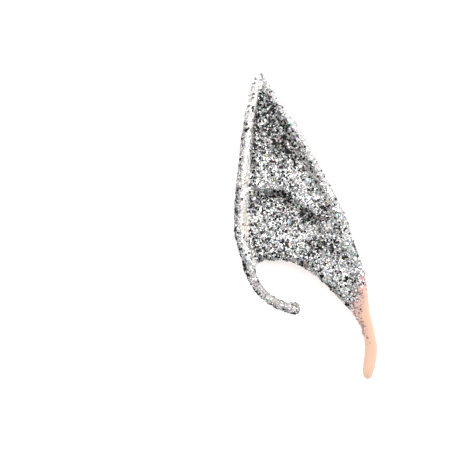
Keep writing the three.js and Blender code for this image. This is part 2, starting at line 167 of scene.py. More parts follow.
def lengths_along(points, power=1.0):
    """Running sum of the distances between neighbours, each raised to a power."""
    steps = np.linalg.norm(np.diff(points, axis=0), axis=1) ** power
    return np.concatenate([[0], np.cumsum(steps)])


def round_rise(distance, radius):
    """Height of a quarter circle over its start, as a share of its radius."""
    left = 1 - np.clip(distance / radius, 0, 1)
    return np.sqrt(1 - left * left)


def mix(a, b, share):
    """Straight blend from a to b."""
    return a + (b - a) * share


print("half way up a quarter circle:", round(float(round_rise(0.5, 1.0)), 3))

# %% [markdown]
# ## Sections across the ear tip
#
# At each height y there are two edges, two rim crests, the depth of the face between them and
# the height of the back. Near the point the rims get slender with the section.

# %% Section values
COLUMN = dict(front=1, rear=2, front_crest=3, rear_crest=4, dish=5, lift=6)
CURVES = {name: smooth_curve(SECTIONS[:, 0], SECTIONS[:, c]) for name, c in COLUMN.items()}
crest_up = smooth_curve(CREST[:, 0], CREST[:, 1])
crest_share = smooth_curve(CREST[:, 0], CREST[:, 2])


def section_at(y):
    """Edges, crests and radii in millimetres at a height y over the tail's end."""
    up = np.clip(y / LENGTH, 0, 1)
    s = {name: curve(up) * DEPTH for name, curve in CURVES.items()}
    s["front"], s["rear"] = CURVES["front"](up) * WIDTH, CURVES["rear"](up) * WIDTH
    most = (s["rear"] - s["front"]) * NARROW_SHARE
    s["front_radius"] = np.minimum(FRONT_RADIUS, most)
    s["rear_radius"] = np.minimum(REAR_RADIUS, most)
    s["front_fall"], s["rear_fall"] = np.minimum(FRONT_FALL, most), np.minimum(REAR_FALL, most)
    s["back_round"] = np.minimum(BACK_ROUNDING, (s["rear"] - s["front"]) / 2)
    return s


def bands_at(y):
    """Places across at which the rims' bands of columns end: front edge, front foot, rear foot,
    rear edge. The rear band fans out down the tail."""
    s = section_at(y)
    fan = TAIL_FAN * np.maximum(0, TAIL_TOP * LENGTH - y)
    front_foot = s["front"] + s["front_radius"] + s["front_fall"]
    rear_foot = s["rear"] - s["rear_radius"] - s["rear_fall"] - fan
    return np.stack([s["front"], front_foot, rear_foot, s["rear"]])


BAND_SHARES = np.array([0, FRONT_BAND, 1 - REAR_BAND, 1])


def stretch(value, source, target):
    """Piecewise straight map of a value from the four source marks to the four target marks."""
    arrays = [np.asarray(a, float) for a in (source, target, value)]
    source, target, value = np.broadcast_arrays(*arrays)
    below, above = source[:-1], source[1:]
    share = np.clip((value[0] - below) / (above - below), 0, 1)
    return target[0] + (share * np.diff(target, axis=0)).sum(axis=0)


def across_at(angle, y):
    """Place across for an angle: 0 on the front edge, half a turn on the rear edge."""
    angle, y = np.broadcast_arrays(angle, y)
    bands = bands_at(y)
    shares = BAND_SHARES.reshape(4, *[1] * y.ndim) * np.ones_like(bands)
    return stretch((1 - np.cos(angle))[None] / 2, shares, bands)


halfway = section_at(LENGTH / 2)
print("width at half the length:", round(float(halfway["rear"] - halfway["front"]), 1), "mm")

# %% [markdown]
# ## The mouth's edge
#
# The sheets end on a curve that dips down the tail. A boolean cut would leave slivers there.
# Instead each column of the skin simply stops at its own height on the curve.


# %% Edge curves
def edge_curve(table):
    """Height of the edge for an angle round the skin, through the table's points."""
    across, y = table[:, 0] * WIDTH, table[:, 1] * LENGTH
    shares = BAND_SHARES[:, None] * np.ones(len(y))
    share = stretch(across[None], bands_at(y), shares)
    angle = np.arccos(1 - 2 * share)
    order = np.argsort(angle)
    return smooth_curve(angle[order], y[order])


front_edge_y, back_edge_y = edge_curve(FRONT_MOUTH), edge_curve(BACK_MOUTH)
EDGE_ANGLES = np.linspace(0, np.pi, 801)
edge_heights = front_edge_y(EDGE_ANGLES)
EDGE_POINTS = np.stack([across_at(EDGE_ANGLES, edge_heights), edge_heights], axis=-1)
EDGE_LENGTHS = lengths_along(EDGE_POINTS)
EDGE_TOP, EDGE_REACH = EDGE_POINTS[:, 1].max(), 6.0


def distance_to_edge(x, y):
    """Shortest distance in plan from each point to the front sheet's edge, row by row. A row that
    lies well above the edge only gets its height over the edge's top."""
    here = np.stack(np.broadcast_arrays(x, y), axis=-1)
    rows = [row[:, 1] - EDGE_TOP if row[:, 1].min() > EDGE_TOP + EDGE_REACH else
            np.linalg.norm(row[:, None] - EDGE_POINTS[None], axis=-1).min(axis=1) for row in here]
    return np.array(rows)


print(f"the mouth's edge is {EDGE_LENGTHS[-1]:.0f} mm long")

# %% [markdown]
# ## Heights of the face and the back
#
# The face starts as a straight sheet between the two crests. From it are taken the rolls of the
# rims, the dish between them, the bowl below the crest, a crease at the front rim's foot and a
# turned-down lip. One ridge is added. Each is a smooth function, so the skin has no steps.


# %% Face and back
CREST_STEP = 0.01  # share of the width over which the crest line's slope is taken


def crest_relief(x, y):
    """A ridge along the crest line: a bell curve of the distance from it, broad above and steep
    below."""
    across = np.clip(x / WIDTH, 0, 1)
    ahead = np.minimum(across + CREST_STEP, 1)
    slope = (crest_up(ahead) - crest_up(across)) * LENGTH / (CREST_STEP * WIDTH)
    above = (y - crest_up(across) * LENGTH) / np.hypot(1, slope)
    spread = np.where(above > 0, CREST_UPPER_SPREAD, CREST_LOWER_SPREAD)
    return CREST_HEIGHT * crest_share(across) * bell(above, spread)


def bowl_relief(x, y):
    """A quick fall below the crest times a slow rise towards the mouth."""
    across = np.clip(x / WIDTH, 0, 1)
    below = crest_up(across) * LENGTH - y
    hollow = smooth_step(below / BOWL_FALL) * (1 - smooth_step(below / BOWL_LENGTH))
    return BOWL_DEPTH * crest_share(across) * hollow


def face_height(x, y, inset):
    """Crest line minus rolls, dish, bowl, crease and lip, plus the ridge. inset 0 is the outside
    and WALL the inside."""
    s = section_at(y)
    from_front, from_rear = x - s["front"] - inset, s["rear"] - inset - x
    front_radius, rear_radius = s["front_radius"] - inset, s["rear_radius"] - inset
    share = np.clip(from_front / (from_front + from_rear), 0, 1)
    crest = mix(s["front_crest"], s["rear_crest"], share) - inset
    front_rise, rear_rise = round_rise(from_front, front_radius), round_rise(from_rear, rear_radius)
    flank = FLANK_SHARE * inset
    in_front = smooth_step((from_front - front_radius + flank) / s["front_fall"])
    in_rear = smooth_step((from_rear - rear_radius + flank) / s["rear_fall"])
    is_open = in_front * in_rear
    dish_width = DISH_SHARE * (s["rear"] - s["front"])
    broad = smooth_step(from_front / dish_width) * smooth_step(from_rear / dish_width)
    narrow = s["front_fall"] / FRONT_FALL
    to_groove = from_front - front_radius - s["front_fall"] + flank
    groove = GROOVE_DEPTH * narrow * bell(to_groove, GROOVE_WIDTH * narrow)
    lip = LIP_DROP * (1 - np.clip(distance_to_edge(x, y) / LIP_WIDTH, 0, 1)) ** 2
    dish = s["dish"] * mix(broad, is_open, FOOT_SHARE)
    hollow = dish + bowl_relief(x, y) * is_open + groove * in_rear
    raised = crest_relief(x, y) * is_open if inset == 0 else 0
    rolled = front_radius * (1 - front_rise) + rear_radius * (1 - rear_rise)
    return crest - rolled - hollow + raised - lip * front_rise * rear_rise


def back_height(x, y, inset):
    """From the silhouette's height at both edges down in a round to the resting surface."""
    s = section_at(y)
    bottom, radius = s["lift"] + inset, s["back_round"] - inset
    front = s["front_crest"] - s["front_radius"] - bottom
    rear = s["rear_crest"] - s["rear_radius"] - bottom
    return (bottom + front * (1 - round_rise(x - s["front"] - inset, radius))
            + rear * (1 - round_rise(s["rear"] - inset - x, radius)))


print("the ridge is", round(float(crest_relief(14.0, 76.0)), 1), "mm high")


# %% [markdown]
# ## The skin
#
# A slush-cast latex piece is one skin with an outside and an inside. Two sheets with Solidify
# would be quicker, but their walls would swell in the tight rolls. Here one stack of rings runs
# down the outside, round the cut edge and up the inside, and closes at both ends.


# %% Points of the skin
def skin_points(angle, level, inset):
    """Grid of points. The angle picks the place across and the sheet, the level the height along,
    and a point below the mouth's edge moves up to it. Near the top all points draw in to the
    middle along a quarter circle."""
    angle, level = np.broadcast_arrays(angle, level)
    is_face = angle <= np.pi
    turned = np.where(is_face, angle, 2 * np.pi - angle)
    y = np.maximum(level, np.where(is_face, front_edge_y(turned), back_edge_y(turned)))
    s = section_at(y)
    outer_x = across_at(turned, y)
    front_pull = (1 - np.clip((outer_x - s["front"]) / HOLLOW_PULL, 0, 1)) ** 2
    rear_pull = (1 - np.clip((s["rear"] - outer_x) / HOLLOW_PULL, 0, 1)) ** 2
    is_outside = inset == 0
    top = LENGTH if is_outside else LENGTH - HOLLOW_END
    closing = round_rise(top - y, POINT_ROUNDING if is_outside else HOLLOW_ROUNDING)
    x = mix((s["front"] + s["rear"]) / 2, outer_x + inset * (front_pull - rear_pull), closing)
    face, back = face_height(x, y, inset), back_height(x, y, inset)
    z = mix((face + back) / 2, np.where(is_face, face, back), closing)
    return np.stack([x, y, z], axis=-1)


FRONT_COLUMNS, BACK_COLUMNS, OUTER_ROWS, INNER_ROWS, CAP_ROWS = 210, 70, 230, 70, 12
EDGE_ROWS, EDGE_WEIGHT = 5, 0.6
measure = mix(EDGE_ANGLES / np.pi, EDGE_LENGTHS / EDGE_LENGTHS[-1], EDGE_WEIGHT)
front_angles = smooth_curve(measure, EDGE_ANGLES)(np.linspace(0, 1, FRONT_COLUMNS + 1))
back_angles = np.pi * (1 + np.arange(1, BACK_COLUMNS) / BACK_COLUMNS)
ring_angles = np.concatenate([front_angles, back_angles])


def row_levels(top, rounding, count):
    """Even levels up to the start of the rounding, then closer ones along a quarter circle."""
    straight = top - rounding
    even = np.linspace(0, straight, count, endpoint=False)
    cap = straight + rounding * np.sin(np.linspace(0, np.pi / 2, CAP_ROWS, endpoint=False))
    return np.concatenate([even, cap])[:, None]


outer_rings = skin_points(ring_angles, row_levels(LENGTH, POINT_ROUNDING, OUTER_ROWS), 0)[::-1]
inner_levels = row_levels(LENGTH - HOLLOW_END, HOLLOW_ROUNDING, INNER_ROWS)
inner_rings = skin_points(ring_angles, inner_levels, WALL)
print("outside", outer_rings.shape[:2], "inside", inner_rings.shape[:2], "rows and columns")

# %% The cut edge, rounded out between the two sheets
outer_edge, inner_edge = outer_rings[-1], inner_rings[0]
beyond = outer_edge - skin_points(ring_angles[None], outer_edge[None, :, 1] + 1.0, 0)[0]
beyond /= np.linalg.norm(beyond, axis=1, keepdims=True)
shares = (np.arange(1, EDGE_ROWS + 1) / (EDGE_ROWS + 1))[:, None, None]
edge_rings = mix(outer_edge, inner_edge, shares) + EDGE_BULGE * np.sin(np.pi * shares) * beyond
point_pole = skin_points(np.zeros((1, 1)), LENGTH, 0).reshape(1, 3)
hollow_pole = skin_points(np.zeros((1, 1)), LENGTH - HOLLOW_END, WALL).reshape(1, 3)
print("the point is", round(float(point_pole[0, 2]), 1), "mm over the table")

# %% [markdown]
# ## The hook
#
# The front rim runs on as a thin round curl. A curve object with a bevel would do, but it can't
# swell at its end, so circles are laid along a smooth path and their radius follows its length.
# Glue ran down it and dried as a bead round its end, with slight lumps on the way.


# %% Circles along the hook
HOOK_BEAD, HOOK_LUMPS, LUMP_RATES = 0.4, 0.04, (2.9, 1.7)
HOOK_SIDES, HOOK_STEPS, HOOK_CAP_STEPS, PATH_STEPS = 40, 120, 10, 1000


def read_off(places, lengths, points):
    """Points at given places along a line of points at known lengths."""
    return np.stack([np.interp(places, lengths, points[:, axis]) for axis in range(3)], axis=-1)


def spline(points, count):
    """Centripetal Catmull-Rom curve: a cubic through the points whose knots lie the square root
    of the distance apart, read off at even lengths."""
    ends = np.concatenate([[2 * points[0] - points[1]], points, [2 * points[-1] - points[-2]]])
    knots = lengths_along(ends, 0.5)
    t = np.linspace(knots[1], knots[-2], 2 * count)
    k = np.clip(np.searchsorted(knots, t, side="right") - 1, 1, len(points) - 1)
    p, q = [ends[k + j] for j in (-1, 0, 1, 2)], [knots[k + j] for j in (-1, 0, 1, 2)]

    def blend(a, b, i, j):
        """Straight blend between two knots."""
        share = ((t - q[i]) / (q[j] - q[i]))[:, None]
        return mix(a, b, share)

    a = [blend(p[j], p[j + 1], j, j + 1) for j in range(3)]
    b = [blend(a[j], a[j + 1], j, j + 2) for j in range(2)]
    fine = blend(b[0], b[1], 1, 2)
    lengths = lengths_along(fine)
    return read_off(np.linspace(0, lengths[-1], count), lengths, fine), lengths[-1]


roots = section_at(HOOK_ROOTS * LENGTH)
root_points = np.stack([roots["front"] + roots["front_radius"], HOOK_ROOTS * LENGTH,
                        roots["front_crest"] - roots["front_radius"] - HOOK_SINK], axis=-1)
free_points = np.stack([HOOK[:, 0] * WIDTH, HOOK[:, 1] * LENGTH,
                        mix(HOOK_END_RADIUS, DEPTH, HOOK[:, 2])], axis=-1)
bead_step = free_points[-1] - free_points[-2]
free_points[-1] += HOOK_BEAD * bead_step / np.linalg.norm(bead_step) * np.array([1, 1, 0])
path, hook_length = spline(np.concatenate([root_points, free_points]), PATH_STEPS)

straight = hook_length - HOOK_CAP
quarter = np.linspace(0, np.pi / 2, HOOK_CAP_STEPS)[1:-1]
place = np.concatenate([np.linspace(0, straight, HOOK_STEPS)[1:],
                        straight + HOOK_CAP * np.sin(quarter)])
centres = read_off(place, np.linspace(0, hook_length, PATH_STEPS), path)
tangents = np.gradient(centres, place, axis=0)
tangents /= np.linalg.norm(tangents, axis=1, keepdims=True)
sideways = np.cross(tangents, [0.0, 0.0, 1.0])
sideways /= np.linalg.norm(sideways, axis=1, keepdims=True)
upwards = np.cross(sideways, tangents)
slender = mix(HOOK_ROOT_RADIUS, HOOK_RADIUS, smooth_step(place / hook_length / HOOK_TAPER))
swelling = smooth_step(1 - (hook_length - place) / HOOK_SWELLING)
centres[:, 2] += HOOK_BEAD * swelling
path[-1, 2] += HOOK_BEAD
lumps = 1 + HOOK_LUMPS * np.sin(place * LUMP_RATES[0]) * np.sin(place * LUMP_RATES[1])
radius = lumps * mix(slender, HOOK_END_RADIUS + HOOK_BEAD, swelling)
radius *= round_rise(hook_length - place, HOOK_CAP + HOOK_BEAD)
turns = np.linspace(0, 2 * np.pi, HOOK_SIDES, endpoint=False)[None, :, None]
hook_rings = centres[:, None] + radius[:, None, None] * (
    np.cos(turns) * sideways[:, None] + np.sin(turns) * upwards[:, None])
print(f"the hook is {hook_length:.0f} mm long and {2 * HOOK_RADIUS} mm thick")

# %% [markdown]
# ## Closing a stack of rings
#
# Both skins are rings between two poles. Columns that end on the mouth's edge leave points on
# top of each other, so these are merged by their rounded places and flat faces are dropped.


# %% Stack to mesh arrays
def closed_stack(first, rings, last):
    """Triangles between neighbouring rings and from the end rings to the poles, with equal points
    merged and faces that lost a side left out."""
    rows, around = rings.shape[:2]
    points = np.concatenate([first, rings.reshape(-1, 3), last])
    ring, column = np.meshgrid(np.arange(rows - 1), np.arange(around), indexing="ij")
    here, beside = 1 + ring * around + column, 1 + ring * around + (column + 1) % around
    quads = np.stack([here, here + around, beside + around, beside], axis=-1).reshape(-1, 4)
    top, bottom = 1 + np.arange(around), 1 + (rows - 1) * around + np.arange(around)
    caps = [np.stack([0 * top, top, np.roll(top, -1)], axis=-1),
            np.stack([np.roll(bottom, -1), bottom, 0 * bottom + len(points) - 1], axis=-1)]
    triangles = np.concatenate([quads[:, [0, 1, 2]], quads[:, [0, 2, 3]], *caps])
    _, first_seen, merged = np.unique(np.round(points, 4), axis=0, return_index=True,
                                      return_inverse=True)
    triangles = merged.reshape(-1)[triangles]
    whole = (triangles != np.roll(triangles, 1, axis=1)).all(axis=1)
    return points[first_seen], triangles[whole], first_seen


shell_points, shell_triangles, shell_origin = closed_stack(
    point_pole, np.concatenate([outer_rings, edge_rings, inner_rings]), hollow_pole)
hook_points, hook_triangles, _ = closed_stack(path[:1], hook_rings, path[-1:])
print(len(shell_triangles), "triangles in the shell,", len(hook_triangles), "in the hook")

# %% [markdown]
# ## One casting
#
# Shell and hook are cast in one mould, so they become one mesh. Glue is brushed over the front.
# It fades out down the tail and round the back, and none gets inside. Handling rubs flakes off
# the rolls again, so the latex shows there, painted pale as a highlight, and the flakes are
# painted darker as shade in the hollows and under the ridge.
# Masks could be painted by hand, but fields worked out from the shape follow it when a size
# changes.


# %% Normals and random waves
def corner_normals(points, triangles):
    """Normal at each point: the sum of the cross products of the triangles that meet there."""
    a, b, c = (points[triangles[:, i]] for i in range(3))
    cross = np.cross(b - a, c - a)
    total = np.stack([np.bincount(triangles.reshape(-1), np.repeat(cross[:, axis], 3), len(points))
                      for axis in range(3)], axis=-1)
    return total / np.maximum(np.linalg.norm(total, axis=1, keepdims=True), 1e-12)


def waves(points, wavelength, seed, count=40):
    """Soft random field: a sum of plane waves in random directions, scaled to a spread of one."""
    rng = np.random.default_rng(seed)
    direction = rng.normal(size=(3, count))
    direction /= np.linalg.norm(direction, axis=0) * wavelength * rng.uniform(0.6, 1.6, count)
    turns = points @ direction + rng.uniform(0, 1, count)
    return np.sin(2 * np.pi * turns).sum(axis=1) / np.sqrt(count / 2)


print("spread of the waves:", round(float(waves(shell_points, 5.0, 11).std()), 2))

# %% Where the coat ends, is worn off with a painted highlight and gets painted shade, in millimetres
FADE_START, FADE_END = np.array([50.3, 46.1]), np.array([44.5, 26.2])  # the coat fades here
FADE_WIDTH, FADE_RAGGED, FADE_WAVE = 9.0, 0.7, 3.0
GLUE_SPILL = 2.0  # the glue runs this much further down the tail than the flakes
SPECK_SHARE, SPECK_REACH, SPECK_SIDE = 0.18, 3.5, 40.0  # stray flakes along the tail's inner side
SPECK_END, SPECK_FADE = 13.0, 10.0
BACK_LEAN, BACK_FADE, BACK_LEAST = -0.75, 0.6, 0.02  # how far a slope turns down before it is bare
TABLE_GAP, TABLE_FADE = 0.5, 0.6  # no flakes where it lies on the table
ROLL_WORN_AND_LIT, ROLL_SOON, FLANK_WORN_AND_LIT = 0.68, 1.7, 0.8  # share of the coat worn off on rolls, and on flanks facing the key light, baring the highlight
FRONT_SOFT, REAR_SOFT = 1.4, 2.6  # how softly the worn bands with their painted highlight end
INWARD, OUTWARD = 1.1, 0.1  # lean to the rear, towards the key light, and to the front, in the painted highlight
# how far a slope must lean up and towards the key light to get the painted highlight, and how much
# more it gets towards the top
LIT_LEAN, LIT_FADE, LIT_MORE = 0.35, 1.1, 0.3
CAP_PART, TOP_PART, UPPER_PART = (LENGTH - 8, 4.0), (96.0, 10.0), (76.0, 20.0)  # start, reach
TOP_LEAN, FLANK_LEAN = (-0.3, 0.3), 1.5
# The hook's top faces the light: it is worn and painted pale as a highlight, its underside gets
# painted shade, and the whole hook is painted a little lighter.
HOOK_UP, HOOK_LEAN, HOOK_FADE, HOOK_WORN_AND_LIT = np.array([0.45, 0.35, 0.8]), 0.25, 0.5, 0.6
HOOK_DARK, HOOK_LIGHT = 0.8, 0.3
DUST_LEAST, DUST_FLANK = 0.35, 0.4  # small flakes that stay between the worn ones, fewer on flanks facing the key light
WORN_AND_LIT = np.array([
    # up, reach of the worn band with its painted highlight in mm from the front edge and from the
    # rear edge, and its strength on the rear rim
    (0.40, 4.9, 0.8, 0.10), (0.48, 5.0, 1.2, 0.35), (0.62, 4.4, 1.8, 0.70), (0.75, 3.7, 4.0, 0.80),
    (0.86, 2.9, 2.0, 0.80), (1.00, 2.7, 1.4, 0.90),
])
CLOUDS = np.array([
    # across mm, up mm, reach mm, change: patches where the flakes are painted darker (+) or lighter
    # (-)
    (14.8, 99.3, 4.0, 0.25), (18.3, 91.1, 4.0, 0.35), (19.5, 86.0, 3.0, 0.45),
    (27.7, 61.8, 4.0, 0.28), (35.1, 65.3, 3.0, 0.35), (14.0, 104.0, 3.0, 0.10),
    (28.0, 47.5, 3.0, 0.30), (37.2, 38.2, 3.0, 0.25), (11.3, 99.3, 2.5, -0.40),
    (12.9, 93.8, 3.0, -0.40), (9.8, 89.1, 3.0, -0.30), (19.9, 81.7, 4.0, -0.30),
    (25.0, 81.0, 3.5, -0.35), (28.9, 73.5, 4.0, -0.30), (17.2, 59.4, 6.0, -0.20),
    (38.1, 44.6, 4.0, -0.25), (10.3, 109.0, 5.0, -0.10), (42.5, 34.0, 3.0, -0.30),
    (41.5, 58.0, 6.0, -0.10), (35.5, 50.0, 6.0, 0.25), (7.3, 60.0, 3.5, 0.35),
    (7.0, 53.0, 3.5, 0.35), (9.0, 77.0, 3.0, -0.30), (12.5, 79.0, 2.5, -0.25),
    (8.0, 73.5, 2.5, -0.25),
])
BARE = np.array([
    # across mm, up mm, reach mm: spots on the rolls where the peach latex shows through
    (3.6, 60.0, 6.5), (3.0, 77.0, 4.0), (6.2, 107.7, 1.8), (27.7, 91.9, 2.5), (43.3, 60.2, 2.2),
])
GLOOM = dict(
    # painted shade (+) and painted light (-) on the flakes: change, where it lies or starts, how
    # wide it is
    upper=(0.46, 10.0, 6.0),  # painted shade in the hollow over the crest
    middle=(-0.05, 6.0, 5.0),
    crown=(-0.60, -0.8, 1.3),  # the ridge catches the light
    line=(0.15, 2.6, 1.0),
    arch=(0.52, -3.7, 2.1),  # painted shade in the dark arch under the ridge
    # painted shade where the lip turns down at the mouth
    mouth=(0.44, -3.5, 3.5),
    crease=(-0.05, 1.8, 1.3),
    flare=(-0.50, -50.0, 10.0),  # brighter towards the tail
    flank=(-0.35, 2.4, 2.4),
)
GLOOM_BASE, ARCH_BEND, ARCH_FOOT = 0.27, 3.5, (6.0, 6.0)
# painted shade down the front rim's outer side, turning a little lighter in its upper part
SIDE_WIDTH, SIDE_PART, SIDE_ABOVE, SIDE_BELOW = 1.6, (72.0, 14.0), -0.15, 0.35
CLOUDY = ((0.16, 5.0, 11), (0.12, 2.5, 12))  # change, wavelength, seed of the random clouds
print(len(CLOUDS), "clouds and", len(BARE), "bare spots")


# %% Fields over the casting
def coat_share(points, normals, spill):
    """Share of the full coat: one, less what fades across the slanted line at the tail's top and
    what is missing round the back. The spill moves the line down the tail."""
    x, y = points[:, 0], points[:, 1]
    along = FADE_END - FADE_START
    across = np.array([-along[1], along[0]]) / np.linalg.norm(along)
    past = (points[:, :2] - FADE_START) @ across + FADE_RAGGED * waves(points, FADE_WAVE, 3) - spill
    fade = 1 - rise(past, -FADE_WIDTH / 2, FADE_WIDTH)
    inner = np.interp(y, EDGE_POINTS[::-1, 1], EDGE_POINTS[::-1, 0])
    specks = SPECK_SHARE * (1 - rise(x - inner, 0, SPECK_REACH)) * rise(y, SPECK_END, SPECK_FADE)
    front = rise(normals[:, 2], BACK_LEAN, BACK_FADE)
    return np.maximum(fade, specks * (x > SPECK_SIDE)) * np.maximum(front, BACK_LEAST)


def worn_and_lit_at(y):
    """The worn and lit bands read off at a height: front reach, rear reach, strength on the rear
    rim.
    """
    return [np.interp(y / LENGTH, WORN_AND_LIT[:, 0], WORN_AND_LIT[:, column]) for column in (1, 2, 3)]


def worn_and_lit_share(points, normals):
    """Share of the coat worn off, which also carries the painted highlight: one on top of a rim's
    roll and on its side towards the face, falling to nothing at its foot and down its outer side:
    within the table's reach, times a smooth step of how far the slope leans up and inwards, towards
    the key light."""
    x, y, aside, up = points[:, 0], points[:, 1], normals[:, 0], normals[:, 2]
    s = section_at(y)
    front_reach, rear_reach, strength = worn_and_lit_at(y)
    front = np.maximum(1 - rise(x - s["front"], front_reach, FRONT_SOFT), rise(y, *CAP_PART))
    rear = strength * (1 - rise(s["rear"] - x, rear_reach, REAR_SOFT))
    lean = up + aside * np.where(aside > 0, INWARD, OUTWARD) + LIT_MORE * rise(y, *UPPER_PART)
    at_top = rise(y, *TOP_PART) * rise(up, *TOP_LEAN)
    return np.maximum(front, rear) * np.maximum(rise(lean, LIT_LEAN, LIT_FADE), at_top)


def gloom(points):
    """How dark the mixture of flakes is: painted shade and light from the base, each part of GLOOM
    as a bell curve or a smooth step and the clouds as bell curves round their middles, and a random
    tone from waves all over."""
    x, y = points[:, 0], points[:, 1]
    across = np.clip(x / WIDTH, 0, 1)
    over, share = y - crest_up(across) * LENGTH, crest_share(across)
    s = section_at(y)
    front_reach, rear_reach, _ = worn_and_lit_at(y)
    to_edge = np.linalg.norm(points[:, None, :2] - EDGE_POINTS[None, ::16], axis=-1).min(axis=1)
    bent = over + ARCH_BEND * (1 - rise(x, *ARCH_FOOT))
    bells = dict(middle=over, crown=over, line=over, arch=bent,
                 crease=x - s["front"] - front_reach, flank=s["rear"] - x - rear_reach)
    steps = dict(upper=over, mouth=-to_edge, flare=-y)
    scale = dict(crown=share, line=share, arch=np.sqrt(share))
    total = GLOOM_BASE
    for name, (change, place_of, width) in GLOOM.items():
        if name in bells:
            field = bell(bells[name] - place_of, width)
        else:
            field = rise(steps[name], place_of, width)
        total = total + change * field * scale.get(name, 1)
    side = 1 - rise(x - s["front"], 0, SIDE_WIDTH)
    total = total + side * mix(SIDE_BELOW, SIDE_ABOVE, rise(y, *SIDE_PART))
    away = np.hypot(x[:, None] - CLOUDS[:, 0], y[:, None] - CLOUDS[:, 1])
    total = total + (CLOUDS[:, 3] * bell(away, CLOUDS[:, 2])).sum(axis=1)
    return total + sum(change * waves(points, size, seed) for change, size, seed in CLOUDY)


print("parts of the gloom:", ", ".join(GLOOM))

# %% Fields of the whole casting
around = len(ring_angles)
outside = np.concatenate([[1.0], np.ones(len(outer_rings) * around),
                          np.repeat(np.linspace(0.9, 0.1, EDGE_ROWS), around),
                          np.zeros(len(inner_rings) * around + 1)])[shell_origin]
outside = np.concatenate([outside, np.ones(len(hook_points))])
casting_points = np.concatenate([shell_points, hook_points])
casting_triangles = np.concatenate([shell_triangles, hook_triangles + len(shell_points)])
casting_normals = np.concatenate([corner_normals(shell_points, shell_triangles),
                                  corner_normals(hook_points, hook_triangles)])
is_hook = np.arange(len(casting_points)) >= len(shell_points)
coat, glued = (np.where(is_hook, 1.0, coat_share(casting_points, casting_normals, spill)) * outside
               for spill in (0.0, GLUE_SPILL))
hook_top = rise(casting_normals @ HOOK_UP, HOOK_LEAN, HOOK_FADE)
roll = np.where(is_hook, HOOK_WORN_AND_LIT * hook_top, worn_and_lit_share(casting_points, casting_normals))
to_spot = np.hypot(casting_points[:, :1] - BARE[:, 0], casting_points[:, 1:2] - BARE[:, 1])
bare = bell(to_spot, BARE[:, 2]).max(axis=1)
flank = np.clip(FLANK_LEAN * casting_normals[:, 0], 0, 1) * roll
coat *= 1 - ROLL_WORN_AND_LIT * smooth_step(ROLL_SOON * roll) - (1 - ROLL_WORN_AND_LIT) * FLANK_WORN_AND_LIT * flank
coat *= rise(casting_points[:, 2], TABLE_GAP, TABLE_FADE)
# painted shade and light on the flakes, darker under the hook and lighter over all of it
gloomy = gloom(casting_points) + np.where(is_hook, HOOK_DARK * (1 - hook_top) - HOOK_LIGHT, 0)
dusting = np.maximum(coat, DUST_LEAST * glued * (1 - DUST_FLANK * flank))
print(f"{len(casting_triangles)} triangles, mean coat {coat.mean():.2f}")

# %% Mesh helper and the casting
SHIFT = np.array([WIDTH / 2, LENGTH / 2, 0.0])


def make_piece(name, points, triangles, smooth):
    """Mesh object at the origin from points in millimetres and triangles, riding on the root."""
    mesh = bpy.data.meshes.new(name)
    mesh.from_pydata((points - SHIFT) * MM, [], triangles)
    mesh.polygons.foreach_set("use_smooth", np.full(len(triangles), smooth))
    mesh.update()
    piece = bpy.data.objects.new(name, mesh)
    bpy.context.scene.collection.objects.link(piece)
    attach(piece, "root")
    return piece


casting = make_piece("latex_casting", casting_points, casting_triangles, True)
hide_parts("ear_tip")
for name, values in (("coat", dusting), ("glued", glued), ("roll", roll), ("bare", bare)):
    layer = casting.data.attributes.new(name, "FLOAT", "POINT")
    layer.data.foreach_set("value", values.astype(np.float32))
print(casting.name, "has", len(casting.data.polygons), "faces")

# %% [markdown]
# ## Shared effects
#
# Latex is never one even colour: pigment clouds it and the mould leaves a faint grain. Flakes
# too small to model lie between the modelled ones. Both are node groups, built once. Each small
# flake is one cell of a Voronoi pattern, with its own tone, its own tilt and its own chance to
# be there at all.


# %% Node helpers
FLOAT, COLOUR, VECTOR = "NodeSocketFloat", "NodeSocketColor", "NodeSocketVector"


def new_group(name, inputs, outputs):
    """Node group with its sockets, and its input and output node."""
    group = bpy.data.node_groups.new(name, "ShaderNodeTree")
    for label, kind, value in inputs:
        socket = group.interface.new_socket(name=label, in_out="INPUT", socket_type=kind)
        socket.default_value = value
    for label, kind in outputs:
        group.interface.new_socket(name=label, in_out="OUTPUT", socket_type=kind)
    return group, group.nodes.new("NodeGroupInput"), group.nodes.new("NodeGroupOutput")


def join(tree, node, sources):
    """Link or set inputs of a node from (input, source or value)."""
    for key, value in sources:
        if isinstance(value, bpy.types.NodeSocket):
            tree.links.new(value, node.inputs[key])
        else:
            node.inputs[key].default_value = value


def add(tree, kind, sources=(), **settings):
    """A new node with its settings and its inputs joined."""
    node = tree.nodes.new(kind)
    for key, value in settings.items():
        setattr(node, key, value)
    join(tree, node, sources)
    return node


def calculate(tree, operation, a, b):
    """Output of a math node."""
    return add(tree, "ShaderNodeMath", [(0, a), (1, b)], operation=operation).outputs[0]


def turn_vector(tree, operation, a, *more):
    """Output of a vector math node."""
    return add(tree, "ShaderNodeVectorMath", [(0, a), *more], operation=operation).outputs[0]


def remap(tree, value, *limits):
    """The value moved from one range to another, both 0 to 1 where no limit is given."""
    return add(tree, "ShaderNodeMapRange", [("Value", value), *limits]).outputs[0]


def mix_colours(tree, factor, a, b, blend_type="MIX"):
    """Colour a where the factor is 0 and b where it is 1, or their product."""
    node = add(tree, "ShaderNodeMix", [("Factor", factor), ("A", a), ("B", b)], data_type="RGBA",
               blend_type=blend_type)
    return node.outputs["Result"]


def pick_colour(tree, factor, stops):
    """Colour of the last stop at or below the factor, without blending."""
    node = add(tree, "ShaderNodeValToRGB", [("Fac", factor)])
    node.color_ramp.interpolation = "CONSTANT"
    while len(node.color_ramp.elements) < len(stops):
        node.color_ramp.elements.new(1.0)
    for element, (position, colour) in zip(node.color_ramp.elements, stops):
        element.position, element.color = position, (*colour, 1.0)
    return node.outputs["Color"]


